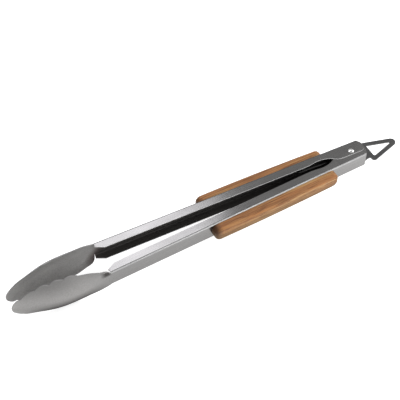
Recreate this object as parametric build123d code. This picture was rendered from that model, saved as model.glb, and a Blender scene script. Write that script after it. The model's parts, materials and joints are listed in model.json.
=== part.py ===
from build123d import *
import os
from math import asin, degrees, sqrt

# Spring loaded kitchen tongs, in millimetres. Two folded sheet steel arms turn on one
# pivot, with a torsion spring between them and a sliding lock plate that ends in a
# hanging loop. The arms are stored in the locked, nearly closed pose.
#
# The model is drawn about the pivot: Z is the pivot's axis, the heads point along -X and
# the loop along +X. An arm is drawn by "along", the distance from the pivot towards its
# head, and "out", the distance from the pivot to its own side. Everything is moved at the
# end so that the origin is under the middle of the whole object, at its lowest level.

# Sheet channel
SHEET = 0.8
WEB_OUT = 11.5            # pivot axis to the outer face of a web
FLANGE_EDGE_OUT = 2.0     # pivot axis line to the free edge of a flange
BEND_RADIUS = 1.8
CHANNEL_END = 291.0       # where the folded channel ends and the head begins
FLANGE_END = 282.0        # where the flange's free edge starts its slanted end
FLANGE_CORNER_OUT = 6.5   # where that slanted end meets the channel's end
TAIL_WEB = 12.0           # how far a web runs on behind the pivot
TAIL_EAR = 15.8           # how far the ears run on behind the pivot
EAR_REACH = 4.4           # how far an ear reaches past the pivot's axis
EAR_CORNER = 5.0
EAR_START = 11.0          # where the ear's straight inner edge begins
EAR_BACK_OUT = 5.5
# The flange's free edge dips outwards before it swings in to the ear
SWELL_START = 54.0
SWELL = [(39.0, 3.7), (25.0, 0.9)]
ARM_TURN = 1.74           # degrees that each arm is open by in the stored pose

# Heights: the inner arm narrows near the pivot so that it nests in the outer one
OUTER_HALF = 9.8
NEST_GAP = 0.1
INNER_HALF_PIVOT = OUTER_HALF - SHEET - NEST_GAP
INNER_HALF_FRONT = 9.4
NARROW_UNTIL = 22.0
FULL_FROM = 64.0

# Scalloped head
HEAD_CURVE_RADIUS = 28.0  # across the head, once it is fully dished
DISHED_FROM = 314.0
# The rims go on from the flanges: folded in at the neck, and flattened out by DISHED_FROM
FOLD_SLOPE = 1.7
FOLD_START, FOLD_SHIFT = 8.0, 4.0
FOLD_SOFT = 3.0
SLAB_HALF_NECK, SLAB_HALF = 13.6, 24.0
SECTION_STEPS = 9
# The neck is a little narrower above the middle than below it
NECK_UPPER = [(291.0, 9.0), (294.5, 11.3), (300.0, 13.2), (309.0, 16.2), (315.0, 17.4)]
NECK_LOWER = [(291.0, 9.6), (294.0, 13.0), (300.0, 16.3), (309.0, 18.6), (315.0, 19.0)]
NOTCHES = [(321.0, 18.5), (336.0, 20.0), (350.0, 19.5), (364.0, 17.0), (378.0, 11.3)]
TIP_POINTS = [(381.0, 10.4), (384.8, 7.2), (387.2, 3.7), (387.9, 0.0)]
LOBE_BULGE = 1.5
RELIEF_WIDTH = 0.4        # slit between a flange's end and the head's rim
RELIEF_DEPTH, RELIEF_HIGH = 3.6, 6.0
# How far out the middle of the head lies, along its length
SPOON = [(291.0, 11.5), (296.0, 11.7), (302.0, 11.95), (309.0, 12.3), (318.0, 12.6), (328.0, 12.5)]
SPOON += [(338.0, 11.9), (348.0, 10.2), (358.0, 7.2), (368.0, 3.8), (378.0, 0.3), (391.0, -4.1)]

# Wooden grips, from their start near the pivot to their end
INNER_GRIP_SPAN = (28.8, 177.6)
OUTER_GRIP_SPAN = (28.0, 175.2)
GRIP_THICK = 9.3
GRIP_CROWN = 0.8
GRIP_HALF = 8.4
GRIP_CORNER = 6.5         # corners of a grip seen square on
GRIP_EDGE_ROUND = 3.4
GRIP_SWEEP = 60.0         # height of the cylinder that crowns a grip, more than the grip's
SCREW_ALONG = (52.0, 151.0)
SCREW_SHANK_R = 1.6
SCREW_HOLE_R = 1.7
SCREW_HEAD_R = 3.0
SCREW_HEAD_HIGH = 1.3
SCREW_DEPTH = 6.0
SCREW_TIP_ROOM = 0.4
DRIVE_WIDTH, DRIVE_DEPTH = 0.7, 0.6

# Pivot
PIN_R = 2.5
PIN_GAP = 0.05
PIN_HEAD_R = 3.1
PIN_HEAD_DEPTH = 0.5
PIN_DIMPLE_R = 1.4
PIN_DIMPLE_DEPTH = 0.5
BUSH_R = 3.5
SPACER_R = 5.0
STACK_GAP = 0.15
SPRING_WIRE_R = 0.85
SPRING_COIL_R = 4.8
SPRING_WHOLE_TURNS = 2
SPRING_PITCH = 1.85
SPRING_LEG = 58.0
SPRING_LEG_GAP = 0.35     # leg to web
SPRING_RAISE = 1.0        # middle of the coil above the middle of the pin

# Lock plate with its loop
PLATE_THICK = 1.5
PLATE_FLOOR = -5.3
WEDGE_HALF = 8.9
WEDGE_BACK, WEDGE_FRONT = 14.0, -9.0
NECK_HALF = 7.7
NECK_START = 18.5
LOCK_TRAVEL = 7.1
PIN_SLOT_GAP = 0.25
EXTRA_PULL = 1.3          # travel past the stored pose, when the heads are squeezed shut
LOOP_BASE, LOOP_APEX = 26.4, 55.0
LOOP_HALF = 8.3
LOOP_BAND = 4.6
LOOP_HOLE_ROUND = 1.2
LOOP_SIDE_ROUND = 3.4
LOOP_TIP_ROUND = 4.95
WAIST_ROUND = 1.0
NECK_ROUND = 2.0
WEDGE_ROUND = 4.0


def arm_point(along, out):
    """A point of an arm's plan, before the arm is turned to its stored angle."""
    return (-along, -out)


def channel_block(half_pivot, half_front, inset, overrun):
    """The channel's outer shape as a solid block, or its hollow when it is inset."""
    ends = (-TAIL_EAR - overrun, CHANNEL_END + overrun)
    steps = [(ends[0], half_pivot), (NARROW_UNTIL, half_pivot), (FULL_FROM, half_front), (ends[1], half_front)]
    if half_pivot == half_front:
        steps = [steps[0], steps[-1]]
    upper = [(-along, half - inset) for along, half in steps]
    lower = [(x, -z) for x, z in reversed(upper)]
    side = Plane.XZ * make_face(Polyline(*upper, *lower, close=True))
    web_y = -(WEB_OUT - inset)
    block = extrude(Pos(0, web_y, 0) * side, amount=-(EAR_REACH + WEB_OUT - inset + overrun))
    arrises = [
        edge
        for edge in block.edges()
        if abs(edge.center().Y - web_y) < 1e-6 and abs((edge % 0.5).X) > 0.9
    ]
    return fillet(arrises, BEND_RADIUS - inset)


def channel_plan():
    """Plan outline that trims the flanges: slanted front end, straight edge, rounded ear."""
    front = Polyline(
        arm_point(CHANNEL_END, WEB_OUT),
        arm_point(CHANNEL_END, FLANGE_CORNER_OUT),
        arm_point(FLANGE_END, FLANGE_EDGE_OUT),
        arm_point(SWELL_START, FLANGE_EDGE_OUT),
    )
    swell = Spline(
        arm_point(SWELL_START, FLANGE_EDGE_OUT),
        *[arm_point(along, out) for along, out in SWELL],
        arm_point(EAR_START, -EAR_REACH),
        tangents=[(1, 0), (1, 0)],
    )
    tail = Polyline(
        arm_point(EAR_START, -EAR_REACH),
        arm_point(-TAIL_EAR, -EAR_REACH),
        arm_point(-TAIL_EAR, EAR_BACK_OUT),
        arm_point(-TAIL_WEB, WEB_OUT),
        arm_point(CHANNEL_END, WEB_OUT),
    )
    outline = make_face([*front.edges(), *swell.edges(), *tail.edges()])
    for side in (1, -1):
        corner = [v for v in outline.vertices() if abs(v.X - TAIL_EAR) < 1e-6 and v.Y * side > EAR_REACH - 1]
        outline = fillet(corner, EAR_CORNER)
    return outline


def channel(half_pivot, half_front):
    """Folded sheet channel with its ears, open towards the other arm."""
    shell = channel_block(half_pivot, half_front, 0, 0)
    shell -= channel_block(half_pivot, half_front, SHEET, 4)
    shell &= extrude(channel_plan(), amount=15, both=True)
    slit = Box(RELIEF_WIDTH, RELIEF_DEPTH, RELIEF_HIGH)
    for side in (1, -1):
        slit_z = side * (FOLD_START + RELIEF_HIGH / 2)
        shell -= Pos(RELIEF_WIDTH / 2 - CHANNEL_END, RELIEF_DEPTH / 2 - WEB_OUT, slit_z) * slit
    return shell


def fold_in(past, slope):
    """How far in a rim lies, and how steeply, at a distance past the start of its fold."""
    if past < 0:
        return 0.0, 0.0
    if past < FOLD_SOFT:
        return slope * past * past / (2 * FOLD_SOFT), slope * past / FOLD_SOFT
    return slope * (past - FOLD_SOFT / 2), slope


def head_section(along, out):
    """Cross-section of the dished head's sheet at one place along it."""
    bend = min(1.0, (along - CHANNEL_END) / (DISHED_FROM - CHANNEL_END))
    curvature = bend * bend * (3 - 2 * bend) / HEAD_CURVE_RADIUS
    slope = FOLD_SLOPE * (1 - bend) ** 2
    fold_start = FOLD_START + FOLD_SHIFT * bend
    half = SLAB_HALF_NECK + (SLAB_HALF - SLAB_HALF_NECK) * bend
    outer_points, inner_points = [], []
    for step in range(-SECTION_STEPS, SECTION_STEPS + 1):
        z = half * step / SECTION_STEPS
        flat = sqrt(1 - (z * curvature) ** 2)
        fold, fold_steepness = fold_in(abs(z) - fold_start, slope)
        level = z * z * curvature / (1 + flat) + fold - out
        steepness = z * curvature / flat + (fold_steepness if z > 0 else -fold_steepness)
        reach = SHEET / sqrt(1 + steepness * steepness)
        outer_points.append((z, level))
        inner_points.append((z - steepness * reach, level + reach))
    outer, inner = Spline(*outer_points), Spline(*inner_points)
    sides = [Line(outer @ 0, inner @ 0), Line(outer @ 1, inner @ 1)]
    face = make_face([edge for line in (outer, inner, *sides) for edge in line.edges()])
    return Plane(origin=(-along, 0, 0), x_dir=(0, 0, 1), z_dir=(-1, 0, 0)) * face


def head_outline():
    """Scalloped outline of the head, seen square on to its face."""
    def half(side, neck_points):
        points = [(-along, side * z) for along, z in NOTCHES]
        neck = Spline(*[(-along, side * z) for along, z in neck_points], points[0])
        lobes = []
        for (x0, z0), (x1, z1) in zip(points, points[1:]):
            run, rise = x1 - x0, z1 - z0
            length = sqrt(run * run + rise * rise)
            lift = side * LOBE_BULGE / length
            mid = ((x0 + x1) / 2 + lift * rise, (z0 + z1) / 2 - lift * run)
            lobes.append(ThreePointArc((x0, z0), mid, (x1, z1)))
        return [neck, *lobes]

    tip_side = [NOTCHES[-1], *TIP_POINTS]
    tip_points = [(-along, z) for along, z in tip_side]
    tip = Spline(*tip_points, *[(x, -z) for x, z in reversed(tip_points[:-1])])
    base = Line((-CHANNEL_END, NECK_UPPER[0][1]), (-CHANNEL_END, -NECK_LOWER[0][1]))
    curves = [*half(1, NECK_UPPER), *half(-1, NECK_LOWER), tip, base]
    return make_face([edge for curve in curves for edge in curve.edges()])


def head():
    """Spoon-shaped head of the arm's own sheet, cut to its scalloped outline."""
    slab = loft([head_section(along, out) for along, out in SPOON])
    cutter = extrude(Plane.XZ * head_outline(), amount=60, both=True)
    return slab & cutter


def at_pin_end(side, piece, depth):
    """Puts a piece drawn upwards, and so deep, flush under one end of the pivot pin."""
    turn = Rot(0 if side > 0 else 180, 0, 0)
    return Pos(0, 0, side * (OUTER_HALF - depth / 2)) * turn * piece


def arm(half_pivot, half_front):
    """One arm in its own frame, with its outer side towards -Y."""
    body = channel(half_pivot, half_front) + head()
    body -= Cylinder(PIN_R + PIN_GAP, 40)
    if half_pivot == OUTER_HALF:
        sink = Cone(PIN_R + PIN_GAP, PIN_HEAD_R + PIN_GAP, PIN_HEAD_DEPTH)
        for side in (1, -1):
            body -= at_pin_end(side, sink, PIN_HEAD_DEPTH)
    for along in SCREW_ALONG:
        body -= Pos(-along, -WEB_OUT, 0) * Rot(90, 0, 0) * Cylinder(SCREW_HOLE_R, 6)
    return body


def grip(span):
    """Wooden grip scale on the outer face of a web, crowned lengthwise, with rounded corners."""
    length = span[1] - span[0]
    middle = (span[0] + span[1]) / 2
    face = Plane.XZ * RectangleRounded(length, 2 * GRIP_HALF, GRIP_CORNER)
    body = Pos(-middle, -WEB_OUT, 0) * extrude(face, amount=GRIP_THICK)
    crown_r = (length * length / 4 + GRIP_CROWN * GRIP_CROWN) / (2 * GRIP_CROWN)
    body &= Pos(-middle, crown_r - WEB_OUT - GRIP_THICK, 0) * Cylinder(crown_r, GRIP_SWEEP)
    outer_level = -(WEB_OUT + GRIP_THICK - GRIP_CROWN)
    body = fillet([edge for edge in body.edges() if edge.center().Y < outer_level + 0.1], GRIP_EDGE_ROUND)
    depth = SCREW_DEPTH + SCREW_TIP_ROOM
    for along in SCREW_ALONG:
        body -= Pos(-along, -WEB_OUT - depth / 2, 0) * Rot(90, 0, 0) * Cylinder(SCREW_SHANK_R, depth)
    return body


def grip_screw(along):
    """Flat-headed screw from inside the channel, through the web and into the grip."""
    inside = WEB_OUT - SHEET
    length = SHEET + SCREW_DEPTH
    shank = Pos(0, -inside - length / 2, 0) * Rot(90, 0, 0) * Cylinder(SCREW_SHANK_R, length)
    cap = Pos(0, -inside + SCREW_HEAD_HIGH / 2, 0) * Rot(90, 0, 0) * Cylinder(SCREW_HEAD_R, SCREW_HEAD_HIGH)
    rim = [e for e in cap.edges() if abs(e.center().Y + inside - SCREW_HEAD_HIGH) < 1e-6]
    cap = fillet(rim, 0.5)
    for turn in (0, 90):
        slot = Rot(0, turn, 0) * Box(3.4, DRIVE_DEPTH * 2, DRIVE_WIDTH)
        cap -= Pos(0, -inside + SCREW_HEAD_HIGH, 0) * slot
    return Pos(-along, 0, 0) * (shank + cap)


def pivot_rivet():
    """Pivot pin with flush countersunk heads and a dimple in each end."""
    pin = Cylinder(PIN_R, 2 * OUTER_HALF)
    head_cone = Cone(PIN_R, PIN_HEAD_R, PIN_HEAD_DEPTH)
    dimple = Cone(0.3, PIN_DIMPLE_R, PIN_DIMPLE_DEPTH)
    for side in (1, -1):
        pin += at_pin_end(side, head_cone, PIN_HEAD_DEPTH)
        pin -= at_pin_end(side, dimple, PIN_DIMPLE_DEPTH)
    return pin


def ring_between(low, high, outer_r):
    """Plain ring on the pivot pin between two levels."""
    ring = Cylinder(outer_r, high - low) - Cylinder(PIN_R + PIN_GAP, high - low)
    return Pos(0, 0, (low + high) / 2) * ring


def lower_spacer():
    """Ring between the inner arm's lower ear and the lock plate."""
    return ring_between(-(INNER_HALF_PIVOT - SHEET) + STACK_GAP, PLATE_FLOOR - STACK_GAP, SPACER_R)


def coil_bush():
    """Sleeve on the pin, above the lock plate, which carries the coil."""
    return ring_between(PLATE_FLOOR + PLATE_THICK + STACK_GAP, INNER_HALF_PIVOT - SHEET - STACK_GAP, BUSH_R)


def torsion_spring():
    """Coil round the bush with a straight leg inside each web, wound as one wire."""
    leg_out = WEB_OUT - SHEET - SPRING_LEG_GAP - SPRING_WIRE_R
    splay = ARM_TURN + degrees(asin((leg_out - SPRING_COIL_R) / SPRING_LEG))
    turns = SPRING_WHOLE_TURNS + 0.5 - 2 * splay / 360
    height = turns * SPRING_PITCH
    coil = Helix(pitch=SPRING_PITCH, height=height, radius=SPRING_COIL_R)
    coil = Pos(0, 0, SPRING_RAISE - height / 2) * Rot(0, 0, splay - 90) * coil
    leg_in = Line(coil @ 0 - (coil % 0) * SPRING_LEG, coil @ 0)
    leg_out_line = Line(coil @ 1, coil @ 1 + (coil % 1) * SPRING_LEG)
    path = Wire([*leg_in.edges(), *coil.edges(), *leg_out_line.edges()])
    wire = sweep(Plane(origin=leg_in @ 0, z_dir=leg_in % 0) * Circle(SPRING_WIRE_R), path=path)
    return mirror(wire, about=Plane.XZ)


def lock_outline():
    """Outer edge of the lock plate: wedge, neck and triangular loop."""
    slope = LOOP_HALF / (LOOP_APEX - LOOP_BASE)
    base = LOOP_BASE - LOOP_BAND
    apex = LOOP_APEX + LOOP_BAND * sqrt(1 + slope * slope) / slope
    corners = [
        (WEDGE_FRONT, WEDGE_HALF, WEDGE_ROUND),
        (WEDGE_BACK, WEDGE_HALF, NECK_ROUND),
        (NECK_START, NECK_HALF, NECK_ROUND),
        (base, NECK_HALF, WAIST_ROUND),
        (base, (apex - base) * slope, LOOP_SIDE_ROUND),
    ]
    points = [(x, y) for x, y, _ in corners] + [(apex, 0)] + [(x, -y) for x, y, _ in reversed(corners)]
    rounds = [r for _, _, r in corners]
    return FilletPolyline(*points, radius=[*rounds, LOOP_TIP_ROUND, *reversed(rounds)], close=True)


def lock_slide():
    """Flat lock plate with a slot for the pin, a neck and a triangular loop."""
    hole = FilletPolyline(
        (LOOP_BASE, LOOP_HALF), (LOOP_APEX, 0), (LOOP_BASE, -LOOP_HALF), radius=LOOP_HOLE_ROUND, close=True
    )
    slot_back = PIN_R + PIN_SLOT_GAP + LOCK_TRAVEL
    slot_front = -(PIN_R + PIN_SLOT_GAP + EXTRA_PULL)
    slot = SlotOverall(slot_back - slot_front, 2 * (PIN_R + PIN_SLOT_GAP))
    plate = make_face(lock_outline()) - make_face(hole)
    plate -= Pos((slot_back + slot_front) / 2, 0) * slot
    return Pos(0, 0, PLATE_FLOOR) * extrude(plate, amount=PLATE_THICK)


def as_inner(piece):
    """Turns a piece of the inner arm to its stored angle."""
    return Rot(0, 0, ARM_TURN) * piece


def as_outer(piece):
    """Mirrors a piece to the outer arm's side and turns it to its stored angle."""
    return Rot(0, 0, -ARM_TURN) * mirror(piece, about=Plane.XZ)


def all_pieces():
    """Every piece by name, about the pivot."""
    pieces = {
        "outer_arm": as_outer(arm(OUTER_HALF, OUTER_HALF)),
        "inner_arm": as_inner(arm(INNER_HALF_PIVOT, INNER_HALF_FRONT)),
        "outer_grip": as_outer(grip(OUTER_GRIP_SPAN)),
        "inner_grip": as_inner(grip(INNER_GRIP_SPAN)),
        "pivot_rivet": pivot_rivet(),
        "coil_bush": coil_bush(),
        "lower_spacer": lower_spacer(),
        "torsion_spring": torsion_spring(),
        "lock_slide": lock_slide(),
    }
    for place, along in zip(("rear", "front"), SCREW_ALONG):
        pieces[f"outer_grip_screw_{place}"] = as_outer(grip_screw(along))
        pieces[f"inner_grip_screw_{place}"] = as_inner(grip_screw(along))
    return pieces


def write_parts():
    """Moves every piece so that the origin is under the middle of the object, and writes it."""
    pieces = all_pieces()
    whole = Compound(children=[solid for piece in pieces.values() for solid in piece.solids()])
    box = whole.bounding_box(optimal=True)
    shift = Pos(-(box.min.X + box.max.X) / 2, -(box.min.Y + box.max.Y) / 2, -box.min.Z)
    os.makedirs("parts", exist_ok=True)
    for name, piece in pieces.items():
        solids = [shift * solid for solid in piece.solids()]
        export_step(solids[0] if len(solids) == 1 else Compound(solids), f"parts/{name}.step")


write_parts()
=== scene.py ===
"""Spring loaded kitchen tongs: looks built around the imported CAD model."""
import bmesh
import bpy
import json
import math
from mathutils import Matrix, Vector


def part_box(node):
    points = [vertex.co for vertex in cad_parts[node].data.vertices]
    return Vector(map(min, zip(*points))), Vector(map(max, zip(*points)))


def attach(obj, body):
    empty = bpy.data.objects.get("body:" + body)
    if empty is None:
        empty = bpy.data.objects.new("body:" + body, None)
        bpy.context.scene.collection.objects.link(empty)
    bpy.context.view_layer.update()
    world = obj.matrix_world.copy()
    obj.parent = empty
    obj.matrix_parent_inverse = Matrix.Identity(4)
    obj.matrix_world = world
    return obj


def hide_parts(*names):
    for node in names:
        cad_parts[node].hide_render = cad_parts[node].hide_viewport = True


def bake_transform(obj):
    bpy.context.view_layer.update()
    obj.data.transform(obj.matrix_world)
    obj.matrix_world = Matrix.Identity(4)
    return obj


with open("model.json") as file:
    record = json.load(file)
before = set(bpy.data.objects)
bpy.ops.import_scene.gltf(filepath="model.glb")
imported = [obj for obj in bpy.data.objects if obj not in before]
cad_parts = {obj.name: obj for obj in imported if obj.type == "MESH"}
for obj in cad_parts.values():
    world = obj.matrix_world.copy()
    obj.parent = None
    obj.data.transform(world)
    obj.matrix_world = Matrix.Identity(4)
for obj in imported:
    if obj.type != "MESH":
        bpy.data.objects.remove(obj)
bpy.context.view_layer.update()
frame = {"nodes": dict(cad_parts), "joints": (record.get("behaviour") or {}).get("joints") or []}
nodes = frame["nodes"]
MM = 0.001
joints = {joint["name"]: joint for joint in frame["joints"]}
PIVOT = Vector(joints["outer_arm_hinge"]["pos_m"])
HALF_HIGH = (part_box("pivot_rivet")[1].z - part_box("pivot_rivet")[0].z) / 2

# Places along X, in millimetres from the pivot; the heads lie towards -X
NECK = -291.2                    # a channel ends here and its head begins
FLANGE_END = -250.0              # end faces beyond this lie at the neck and take the inside's colour: painted shade, turning to stain near the neck
HEAD_FADE = (-288, -318)         # outside: from brushed channel to satin head
STAIN_FADE = (-270, -310)        # inside: from the channel's painted shade, through a stain, to satin head
PIVOT_FADE = (-150, -40)         # inside: painted shade, darker towards the pivot
TIP_FADE = (-386, -350)          # the painted shade on a head's lower rim leaves its tip clear
# painted shade in the crease where a channel turns into its head
CREASE_START, CREASE_END = (-289, -292), (-301, -296)
GRIP_END_FADE = (-167, -176)     # the wood darkens at its end nearest the heads

# Heights, in millimetres from the middle of the pivot
RIM_FADE = (1.74, -14.26)        # painted shade: the outside of a head darkens down to its lower rim
TOP_FADE = (4.74, 16.74)         # and, as painted shade too, a little towards its upper rim
INSIDE_TOP_FADE = (6, 19)        # painted shade: the inside of a head darkens towards its upper rim
CREASE_FADE = (5.5, 8.5)         # the painted shade in the crease at the neck is on its upper side
STAIN_SLANT = (-10, 10)          # the stain at the neck leans over this height
GRIP_LOW_FADE = (4, -5)          # painted shade: the wood darkens towards its lower side


def at(x, y, z):
    """A point given in millimetres from the pivot."""
    return PIVOT + Vector((x, y, z)) * MM


def add_object(name, data):
    """Puts new data into the scene as an object."""
    made = bpy.data.objects.new(name, data)
    bpy.context.scene.collection.objects.link(made)
    return made


# ---------------------------------------------------------------- materials

def ranged(tree, value, source, target, smooth=False):
    """Maps a value from one range to another and holds it within the second."""
    node = tree.nodes.new("ShaderNodeMapRange")
    node.interpolation_type = "SMOOTHSTEP" if smooth else "LINEAR"
    tree.links.new(value, node.inputs["Value"])
    for key, number in zip(("From Min", "From Max", "To Min", "To Max"), (*source, *target)):
        node.inputs[key].default_value = number
    return node.outputs["Result"]


class Graph:
    """Small helper that adds and links the shader nodes of one material."""

    def __init__(self, name):
        self.material = bpy.data.materials.new(name)
        self.material.use_nodes = True
        self.tree = self.material.node_tree
        self.tree.nodes.clear()
        self.shader = self.add("ShaderNodeBsdfPrincipled")
        output = self.add("ShaderNodeOutputMaterial")
        self.link(self.shader.outputs["BSDF"], output.inputs["Surface"])
        self.place = self.add("ShaderNodeTexCoord").outputs["Object"]

    def add(self, kind, **settings):
        node = self.tree.nodes.new(kind)
        for key, value in settings.items():
            setattr(node, key, value)
        return node

    def link(self, source, target):
        self.tree.links.new(source, target)

    def put(self, value, target):
        """Links a socket, or sets a plain value."""
        if isinstance(value, bpy.types.NodeSocket):
            self.link(value, target)
        else:
            target.default_value = value

    def noise(self, scale, detail=3.0, rough=0.55, twist=0.0, shift=(0, 0, 0)):
        """Noise with its own scale along each axis: a small scale draws it out into lines."""
        mapping = self.add("ShaderNodeMapping")
        self.link(self.place, mapping.inputs["Vector"])
        mapping.inputs["Scale"].default_value = scale
        mapping.inputs["Location"].default_value = shift
        node = self.add("ShaderNodeTexNoise")
        self.link(mapping.outputs["Vector"], node.inputs["Vector"])
        node.inputs["Scale"].default_value = 1.0
        node.inputs["Detail"].default_value = detail
        node.inputs["Roughness"].default_value = rough
        node.inputs["Distortion"].default_value = twist
        return node.outputs["Fac"]

    def spread(self, value, low, high, to_low=0.0, to_high=1.0):
        return ranged(self.tree, value, (low, high), (to_low, to_high))

    def axis(self, letter):
        """Object coordinate along one axis, in metres."""
        split = self.add("ShaderNodeSeparateXYZ")
        self.link(self.place, split.inputs[0])
        return split.outputs[letter]

    def along_x(self, start, end):
        """Goes from 0 to 1 between two places along X, in millimetres from the pivot."""
        return self.spread(self.axis("X"), PIVOT.x + start * MM, PIVOT.x + end * MM)

    def along_z(self, start, end, to_low=0.0, to_high=1.0):
        """The same between two heights, in millimetres from the middle of the pivot."""
        return self.spread(self.axis("Z"), PIVOT.z + start * MM, PIVOT.z + end * MM, to_low, to_high)

    def math(self, operation, a, b):
        node = self.add("ShaderNodeMath", operation=operation)
        self.put(a, node.inputs[0])
        self.put(b, node.inputs[1])
        return node.outputs[0]

    def product(self, first, *others):
        for other in others:
            first = self.math("MULTIPLY", first, other)
        return first

    def weighed(self, a, b, share):
        """Sum of two values, where the first has the given share."""
        return self.math("ADD", self.product(a, share), self.product(b, 1 - share))

    def mix(self, fac, a, b):
        """Colour a where fac is 0 and colour b where it is 1."""
        node = self.add("ShaderNodeMix", data_type="RGBA")
        self.put(fac, node.inputs[0])
        self.put(a, node.inputs[6])
        self.put(b, node.inputs[7])
        return node.outputs[2]

    def ramp(self, value, stops):
        node = self.add("ShaderNodeValToRGB")
        self.link(value, node.inputs["Fac"])
        band = node.color_ramp
        while len(band.elements) < len(stops):
            band.elements.new(0.5)
        for element, (where, colour) in zip(band.elements, stops):
            element.position = where
            element.color = (*colour, 1.0)
        return node.outputs["Color"]

    def bump(self, height, strength, distance):
        node = self.add("ShaderNodeBump")
        node.inputs["Strength"].default_value = strength
        node.inputs["Distance"].default_value = distance
        self.link(height, node.inputs["Height"])
        self.link(node.outputs["Normal"], self.shader.inputs["Normal"])

    def set(self, **values):
        for key, value in values.items():
            self.put(value, self.shader.inputs[key.replace("_", " ")])


def grey(level, warm=1.0):
    """Neutral colour, a little warmer when warm is above one."""
    return (level * warm, level, level / warm, 1.0)


# Noise scales along X, Y and Z
FINE_LINES = (60, 4200, 4200)
SMEARS = (22, 60, 60)
SPECKLES = (900, 900, 900)
SMEAR_SHIFT, STREAK_SHIFT = (7, 0, 1), (3, 1, 2)


def brushed(name, tint, shade, roughness, brush=FINE_LINES, metallic=1.0):
    """Brushed steel: lines as dark as shade times the tint, and smears between two roughnesses."""
    g = Graph(name)
    lines = g.noise(brush, 2.0, 0.6)
    streaks = g.noise(tuple(scale * 0.22 for scale in brush), 3.0, 0.6, shift=STREAK_SHIFT)
    smears = g.noise(SMEARS, 3.0, 0.55, shift=SMEAR_SHIFT)
    grain = g.weighed(lines, streaks, 0.55)
    dark = (*[channel * shade for channel in tint], 1.0)
    g.set(Base_Color=g.mix(g.spread(grain, 0.3, 0.7), dark, (*tint, 1.0)), Metallic=metallic)
    worn = g.spread(smears, 0.35, 0.65, *roughness)
    g.set(Roughness=g.math("ADD", worn, g.spread(grain, 0.3, 0.7, -0.03, 0.03)))
    g.bump(grain, 0.25, 0.06 * MM)
    return g


def arm_finish():
    """Outside of an arm: brushed channel and dull stamped head, with painted shade at its lower rim, in
    the crease at its neck and a little towards its upper rim.
    """
    g = Graph("brushed_sheet_steel")
    lines = g.noise(FINE_LINES, 2.0, 0.6)
    streaks = g.noise((14, 900, 900), 3.0, 0.6, shift=STREAK_SHIFT)
    smears = g.noise(SMEARS, 3.0, 0.55, shift=SMEAR_SHIFT)
    speckle = g.noise(SPECKLES, 2.0, 0.6)
    grain = g.weighed(lines, streaks, 0.5)
    satin = g.weighed(speckle, smears, 0.6)
    head = g.along_x(*HEAD_FADE)
    channel_tone = g.mix(g.spread(grain, 0.3, 0.7), grey(0.185, 1.012), grey(0.23, 1.016))
    head_tone = g.mix(g.spread(satin, 0.3, 0.7), grey(0.235, 1.02), grey(0.32, 1.022))
    # painted shade: the head darkens a little towards its upper rim
    head_tone = g.mix(g.along_z(*TOP_FADE, 0.0, 0.42), head_tone, grey(0.17, 1.01))
    colour = g.mix(head, channel_tone, head_tone)
    # painted shade: the head's lower rim is darkened, except at its tip
    low_rim = g.product(head, g.along_z(*RIM_FADE), g.along_x(*TIP_FADE))
    colour = g.mix(g.product(low_rim, 0.93), colour, grey(0.055, 1.03))
    # painted shade: the crease at the neck is darkened
    crease = g.product(g.along_x(*CREASE_START), g.along_x(*CREASE_END), g.along_z(*CREASE_FADE))
    colour = g.mix(g.product(crease, 0.85), colour, grey(0.03, 1.05))
    # painted shade: reflections are dimmed on the lower rim and in the crease
    g.set(Specular_Tint=g.mix(g.math("MAXIMUM", low_rim, crease), grey(1.0), grey(0.08)))
    rough = g.math("ADD", g.spread(smears, 0.35, 0.65, 0.2, 0.26), g.product(head, 0.22))
    g.set(Base_Color=colour, Metallic=1.0, Anisotropic=0.6, Roughness=rough)
    tangent = g.add("ShaderNodeTangent", direction_type="RADIAL", axis="X")
    g.link(tangent.outputs["Tangent"], g.shader.inputs["Tangent"])
    g.bump(grain, 0.12, 0.04 * MM)
    return g


def inside_finish():
    """Inside of an arm: dark channel, painted shade that deepens towards the pivot, which turns brown
    with a stain and clears to satin in the head, with painted shade towards the head's upper rim.
    """
    g = Graph("dull_inside_steel")
    speckle = g.noise((800, 800, 800), 2.0, 0.6)
    smears = g.noise((30, 70, 70), 3.0, 0.6, shift=(2, 5, 1))
    streaks = g.noise((40, 900, 900), 2.0, 0.6)
    mottle = g.weighed(speckle, smears, 0.45)
    satin = g.mix(g.spread(mottle, 0.35, 0.65), grey(0.225, 1.02), grey(0.335, 1.02))
    # painted shade: the inside of a head darkens towards its upper rim
    satin = g.mix(g.along_z(*INSIDE_TOP_FADE, 0.0, 0.6), satin, grey(0.13, 1.012))
    # painted shade: the inside of the channel is near black, and darker still towards the pivot
    channel_shade = g.mix(g.spread(streaks, 0.3, 0.7), grey(0.055, 1.04), grey(0.085, 1.06))
    channel_shade = g.mix(g.along_x(*PIVOT_FADE), channel_shade, grey(0.015))
    ragged = g.math("SUBTRACT", g.along_x(*STAIN_FADE), g.spread(smears, 0.3, 0.7, -0.06, 0.06))
    slanted = g.math("ADD", ragged, g.along_z(*STAIN_SLANT, -0.16, 0.16))
    stained = g.mix(g.spread(slanted, 0.25, 0.45), channel_shade, (0.105, 0.082, 0.078, 1))
    g.set(Base_Color=g.mix(g.spread(slanted, 0.38, 0.62), stained, satin), Metallic=0.55)
    g.set(Roughness=g.spread(mottle, 0.3, 0.7, 0.5, 0.62))
    g.bump(speckle, 0.15, 0.08 * MM)
    return g


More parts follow.
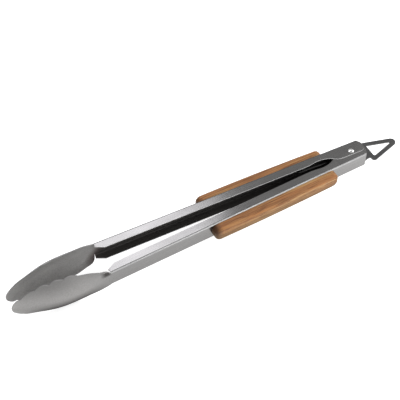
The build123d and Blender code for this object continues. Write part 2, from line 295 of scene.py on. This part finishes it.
def wood(name, shift):
    """Oiled open-grained hardwood with its grain along X, and painted shade towards its lower side."""
    g = Graph(name)
    broad = g.noise((5, 95, 95), 2.0, 0.5, 0.5, shift)
    bands = g.noise((7, 520, 520), 3.0, 0.62, 0.5, shift)
    fibre = g.noise((60, 2400, 2400), 2.0, 0.6, 0.0, shift)
    pores = g.noise((70, 1500, 1500), 1.0, 0.5, 0.0, tuple(step + 5 for step in shift))
    base = g.ramp(broad, [
        (0.34, (0.21, 0.072, 0.021)),
        (0.45, (0.32, 0.128, 0.040)),
        (0.54, (0.34, 0.175, 0.062)),
        (0.66, (0.42, 0.25, 0.105)),
    ])
    base = g.mix(g.spread(bands, 0.47, 0.57, 0.0, 0.95), base, (0.155, 0.05, 0.015, 1))
    base = g.mix(g.spread(fibre, 0.35, 0.7, 0.0, 0.38), base, (0.45, 0.29, 0.135, 1))
    base = g.mix(g.spread(pores, 0.60, 0.68, 0.0, 0.7), base, (0.07, 0.028, 0.013, 1))
    darkened = g.math("ADD", g.along_x(*GRIP_END_FADE), g.product(bands, 0.3))
    base = g.mix(g.spread(darkened, 0.3, 1.05, 0.0, 0.93), base, (0.05, 0.022, 0.01, 1))
    # painted shade: the wood's lower side is darkened
    base = g.mix(g.along_z(*GRIP_LOW_FADE, 0.0, 0.75), base, (0.135, 0.083, 0.036, 1))
    g.set(Base_Color=base, Metallic=0.0, Specular_IOR_Level=0.2)
    g.set(Roughness=g.spread(bands, 0.3, 0.7, 0.46, 0.62))
    height = g.math("SUBTRACT", g.product(fibre, 0.4), g.spread(pores, 0.58, 0.68, 0.0, 0.8))
    g.bump(height, 0.5, 0.15 * MM)
    return g


arm_steel = arm_finish()
arm_inside = inside_finish()
# painted highlight: the flanges' cut edges are near white and hardly metallic, so they show as bright
# lines
cut_edge = brushed("sheared_edge_highlight", (0.80, 0.80, 0.80), 0.9, (0.35, 0.45), SPECKLES, metallic=0.15)
# painted shade: the outer arm's bends are near black
outer_bend = brushed("shaded_bend", (0.05, 0.05, 0.05), 0.85, (0.4, 0.5))
# painted highlight: the inner arm's bends are a lighter steel than the channel, and rougher, so the
# arris lamp draws a soft bright line along them
inner_bend = brushed("bend_highlight", (0.36, 0.36, 0.36), 0.85, (0.36, 0.44))
lock_steel = brushed("dull_stamped_steel", (0.10, 0.10, 0.099), 0.8, (0.34, 0.46), (500, 1500, 1500))
pivot_steel = brushed("turned_pivot_steel", (0.66, 0.66, 0.65), 0.85, (0.1, 0.16), SPECKLES)
screw_steel = brushed("turned_screw_steel", (0.42, 0.42, 0.41), 0.85, (0.25, 0.34), SPECKLES)
# painted shade: the spring, which sits inside the channel, is made near black
spring_steel = brushed("drawn_spring_wire", (0.13, 0.13, 0.13), 0.85, (0.28, 0.36), (1500, 1500, 1500))
inner_wood = wood("oiled_wood_inner", (0.3, 0.1, 0.2))
outer_wood = wood("oiled_wood_outer", (1.7, 2.3, 0.9))

FINISH = {
    "outer_arm": arm_steel, "inner_arm": arm_steel, "outer_grip": outer_wood, "inner_grip": inner_wood,
    "pivot_rivet": pivot_steel, "coil_bush": pivot_steel, "lower_spacer": pivot_steel,
    "torsion_spring": spring_steel, "lock_slide": lock_steel,
}
for name, node in nodes.items():
    node.data.materials.clear()
    node.data.materials.append(FINISH.get(name, screw_steel).material)


# ---------------------------------------------------------------- arms

ARM_TURN = math.radians(1.74)            # each arm stands this far open about the pivot
OUTSIDE, INSIDE, EDGE, BEND = range(4)   # material slots of an arm
EDGE_REACH = 8.5 * MM                    # the flanges' free edges lie nearer the middle plane than this
SKIN = 0.3 * MM                          # faces this near the top or bottom are not inside the channel

# Cosines between a face's normal and a direction
HEAD_OUT = 0.35                          # the outside of a head turns outward more than this
END_ON = 0.8                             # ends of flanges and ears face along the arm
EDGE_ON = 0.75                           # free edges of flanges face the other arm
WEB_IN, FLANGE_IN = 0.5, 0.3             # inner faces of the web and of the flanges
BEND_FROM, BEND_TO = 0.3, 0.97           # the bends turn from the flanges to the web


def arm_slot(face, outward, forward):
    """Slot of one face of an arm, by where it lies and which way it faces."""
    middle = face.center - PIVOT
    along, out = middle.dot(forward), middle.dot(outward)
    facing = face.normal.dot(outward)
    if along > -NECK * MM:
        return OUTSIDE if facing > HEAD_OUT else INSIDE
    if abs(face.normal.dot(forward)) > END_ON:
        # end faces at the neck take the inside's colour, which is painted shade there
        return INSIDE if along > -FLANGE_END * MM else EDGE
    if facing < -EDGE_ON and out < EDGE_REACH:
        return EDGE
    faces_in = facing < -WEB_IN or face.normal.z * math.copysign(1, middle.z) < -FLANGE_IN
    if faces_in and abs(middle.z) < HALF_HIGH - SKIN:
        return INSIDE
    return BEND if BEND_FROM < facing < BEND_TO else OUTSIDE


def dress_arm(name, side, bend):
    """Gives an arm's inside, cut edges and bends their own finish, with painted shade inside the channel
    and on the outer arm's bends, and painted highlights on the cut edges and the inner arm's bends; side
    is 1 for the arm at -Y.
    """
    mesh = nodes[name].data
    for finish in (arm_inside, cut_edge, bend):
        mesh.materials.append(finish.material)
    outward = Vector((math.sin(ARM_TURN), -math.cos(ARM_TURN) * side, 0))
    forward = Vector((-math.cos(ARM_TURN), -math.sin(ARM_TURN) * side, 0))
    for face in mesh.polygons:
        face.material_index = arm_slot(face, outward, forward)


dress_arm("inner_arm", 1, inner_bend)
dress_arm("outer_arm", -1, outer_bend)


# ---------------------------------------------------------------- spring and rivet

COIL_REACH = 5.8 * MM    # the coil lies within this radius
COIL_PITCH = 1.85 * MM   # rise of one turn
COIL_HAND = -1           # the wire winds clockwise as it rises


def spring_half(name, upper):
    """Half of the torsion spring, from the back of its coil to one leg, which lies along an arm."""
    mesh = nodes["torsion_spring"].data.copy()
    low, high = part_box("torsion_spring")
    middle = (low.z + high.z) / 2
    build = bmesh.new()
    build.from_mesh(mesh)
    unwanted = []
    for face in build.faces:
        place = face.calc_center_median()
        x, y, rise = place.x - PIVOT.x, place.y - PIVOT.y, place.z - middle
        if math.hypot(x, y) < COIL_REACH:
            # the place along the wound wire, in turns, is 0 at the back of the coil
            turns = COIL_HAND * math.atan2(y, x) / math.tau
            rise = turns + round(rise / COIL_PITCH - turns)
        if (rise > 0) != upper:
            unwanted.append(face)
    bmesh.ops.delete(build, geom=unwanted, context="FACES")
    build.to_mesh(mesh)
    build.free()
    half = add_object(name, mesh)
    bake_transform(half)
    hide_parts("torsion_spring")


def rivet_crown():
    """Raised, dimpled crown that riveting leaves on the top end of the pivot pin."""
    profile = [
        (0.0, 0.1), (0.45, 0.12), (0.85, 0.42), (1.3, 0.66),
        (1.75, 0.68), (2.3, 0.48), (2.75, 0.2), (3.05, 0.0),
    ]
    steps, top = 40, HALF_HIGH / MM
    points, faces = [], []
    for radius, rise in profile:
        for step in range(steps):
            turn = math.tau * step / steps
            points.append(at(radius * math.cos(turn), radius * math.sin(turn), top + rise))
    for ring in range(len(profile) - 1):
        for step in range(steps):
            a, b = ring * steps + step, ring * steps + (step + 1) % steps
            faces.append((a, a + steps, b + steps, b))
    mesh = bpy.data.meshes.new("rivet_crown")
    mesh.from_pydata(points, [], faces)
    build = bmesh.new()
    build.from_mesh(mesh)
    bmesh.ops.remove_doubles(build, verts=build.verts, dist=0.001 * MM)
    build.to_mesh(mesh)
    build.free()
    mesh.shade_smooth()
    mesh.materials.append(pivot_steel.material)
    crown = add_object("rivet_crown", mesh)
    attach(crown, "pivot_hub")


spring_half("spring_upper_half", True)
spring_half("spring_lower_half", False)
rivet_crown()


# ---------------------------------------------------------------- stage, light and camera

FLOOR_REACH = 3.0        # half of the floor's side, in metres
FLOOR_TILT = 0.0323      # the tongs rest on the heads' lower edges and on the arms' tails
FLOOR_LEVEL_X = -0.17    # here the floor lies FLOOR_GAP under the frame's zero height
FLOOR_GAP = 0.2 * MM
FLOOR_GLOW = (0.62, 0.95)
SKY_LEVEL, HORIZON_GLOW, FRONT_GLOW = 0.50, 0.45, 0.30


def studio_floor():
    """White floor that glows a little more towards the pivot's end."""
    low, high = -FLOOR_REACH, FLOOR_REACH
    corners = [(low, low), (high, low), (high, high), (low, high)]
    points = [(x, y, (x - FLOOR_LEVEL_X) * FLOOR_TILT - FLOOR_GAP) for x, y in corners]
    mesh = bpy.data.meshes.new("studio_floor")
    mesh.from_pydata(points, [], [(0, 1, 2, 3)])
    g = Graph("studio_white")
    paper = g.spread(g.noise((40, 40, 40), 2.0), 0.3, 0.7)
    g.set(Base_Color=g.mix(paper, grey(0.78), grey(0.80)), Roughness=0.9)
    g.set(Emission_Color=grey(1.0), Emission_Strength=g.spread(g.axis("X"), -0.15, 0.2, *FLOOR_GLOW))
    mesh.materials.append(g.material)
    add_object("studio_floor", mesh)


def studio_world():
    """Even white surroundings, brighter near the horizon and on the inner arm's side."""
    world = bpy.data.worlds.new("studio")
    bpy.context.scene.world = world
    world.use_nodes = True
    sky = world.node_tree
    split = sky.nodes.new("ShaderNodeSeparateXYZ")
    sky.links.new(sky.nodes.new("ShaderNodeTexCoord").outputs["Generated"], split.inputs[0])
    horizon = ranged(sky, split.outputs["Z"], (0.0, 0.5), (HORIZON_GLOW, 0.0), smooth=True)
    front = ranged(sky, split.outputs["Y"], (-0.6, 0.25), (FRONT_GLOW, 0.0), smooth=True)
    both = sky.nodes.new("ShaderNodeMath")
    sky.links.new(horizon, both.inputs[0])
    sky.links.new(front, both.inputs[1])
    total = sky.nodes.new("ShaderNodeMath")
    sky.links.new(both.outputs[0], total.inputs[0])
    total.inputs[1].default_value = SKY_LEVEL
    background = sky.nodes["Background"]
    background.inputs["Color"].default_value = grey(1.0)
    sky.links.new(total.outputs[0], background.inputs["Strength"])


def card(name, centre, toward, size, power, colour=(1, 1, 1)):
    """Rectangular soft light; its places, from the pivot, and its size are in millimetres."""
    data = bpy.data.lights.new(name, "AREA")
    data.shape = "RECTANGLE"
    data.size, data.size_y = size[0] * MM, size[1] * MM
    data.energy = power
    data.color = colour
    lamp = add_object(name, data)
    lamp.location = at(*centre)
    lamp.rotation_euler = (at(*toward) - lamp.location).to_track_quat("-Z", "Y").to_euler()


def floor_sun():
    """Very soft sun from the loop's end."""
    data = bpy.data.lights.new("floor_sun", "SUN")
    data.energy = 1.2
    data.angle = math.radians(50)
    sun = add_object("floor_sun", data)
    sun.rotation_euler = Vector((-0.8, -0.1, -0.58)).to_track_quat("-Z", "Y").to_euler()


AZIMUTH, ELEVATION, ROLL = math.radians(28.997), math.radians(50.33), math.radians(0.155)
TARGET = (-168, 24, 0)   # in millimetres from the pivot
DISTANCE = 1040.0        # from the target, in millimetres
NUDGE = 0.512            # the camera stands this far left and up of that line, in millimetres
SENSOR = 36.0
FOCAL = 2.5402           # focal length over the sensor's width


def main_camera():
    """Looks from the inner arm's side, 29 degrees towards the heads and 50 degrees above the horizon."""
    right = Vector((math.cos(AZIMUTH), -math.sin(AZIMUTH), 0))
    ahead = Vector((math.sin(AZIMUTH), math.cos(AZIMUTH), 0))
    up = ahead * math.sin(ELEVATION) + Vector((0, 0, math.cos(ELEVATION)))
    back = -ahead * math.cos(ELEVATION) + Vector((0, 0, math.sin(ELEVATION)))
    rolled_right = right * math.cos(ROLL) + up * math.sin(ROLL)
    rolled_up = -right * math.sin(ROLL) + up * math.cos(ROLL)
    data = bpy.data.cameras.new("camera")
    data.sensor_width = SENSOR
    data.lens = SENSOR * FOCAL
    data.clip_end = 20
    camera = add_object("camera", data)
    place = at(*TARGET) + (back * DISTANCE + (rolled_up - rolled_right) * NUDGE) * MM
    turn = Matrix((rolled_right, rolled_up, back)).transposed().to_4x4()
    camera.matrix_world = Matrix.Translation(place) @ turn
    bpy.context.scene.camera = camera


studio_floor()
studio_world()
card("flange_card", (-162, 512, 710), (-200, 0, 0), (560, 300), 2.15, (0.96, 0.955, 1.0))
card("arris_card", (230, -705, 500), (-60, 0, 0), (400, 130), 2.0)
floor_sun()
main_camera()
bpy.context.scene.view_settings.view_transform = "Standard"
